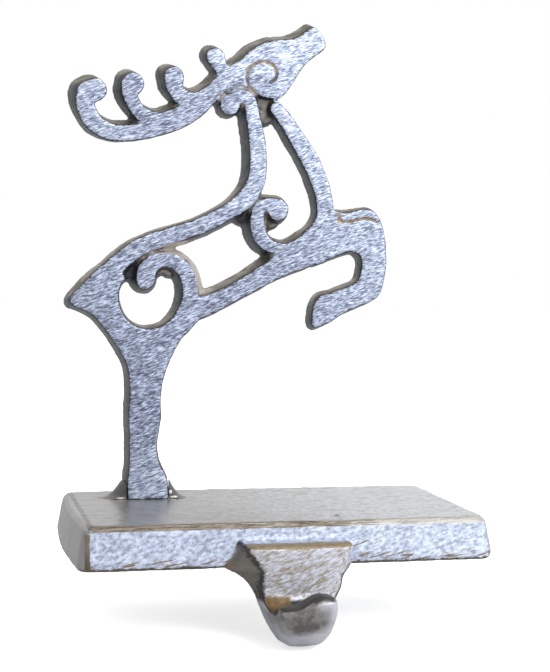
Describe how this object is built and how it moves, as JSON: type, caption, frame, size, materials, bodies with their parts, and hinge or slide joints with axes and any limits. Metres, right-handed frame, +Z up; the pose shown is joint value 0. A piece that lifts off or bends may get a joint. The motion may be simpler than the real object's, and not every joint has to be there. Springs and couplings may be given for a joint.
{
  "type": "mantel stocking holder",
  "caption": "Weighted cast base that rests on a mantel edge, with a hook for a stocking below its front rim and a scrollwork reindeer on top.",
  "frame": {"origin": "on the seat plane, in the middle of the base's front rim, where the holder rests on the mantel's front edge", "axes": "+Z up, +Y to the back over the mantel, +X to the right as seen from the front"},
  "size_m": [0.1446, 0.0988, 0.2121],
  "materials": {
    "base_casting": "sand-cast iron with worn silver paint, grainy bright front face, smoother grey top, brown rust in the grooves and along the edges",
    "reindeer_casting": "sand-cast iron with bluish silver paint on the front, dark grey sides",
    "braze": "glossy dark grey filler under thin silver paint"
  },
  "bodies": {
    "root": {"base": "base_casting", "reindeer": "reindeer_casting", "braze_left": "braze", "braze_right": "braze"}
  },
  "joints": []
}
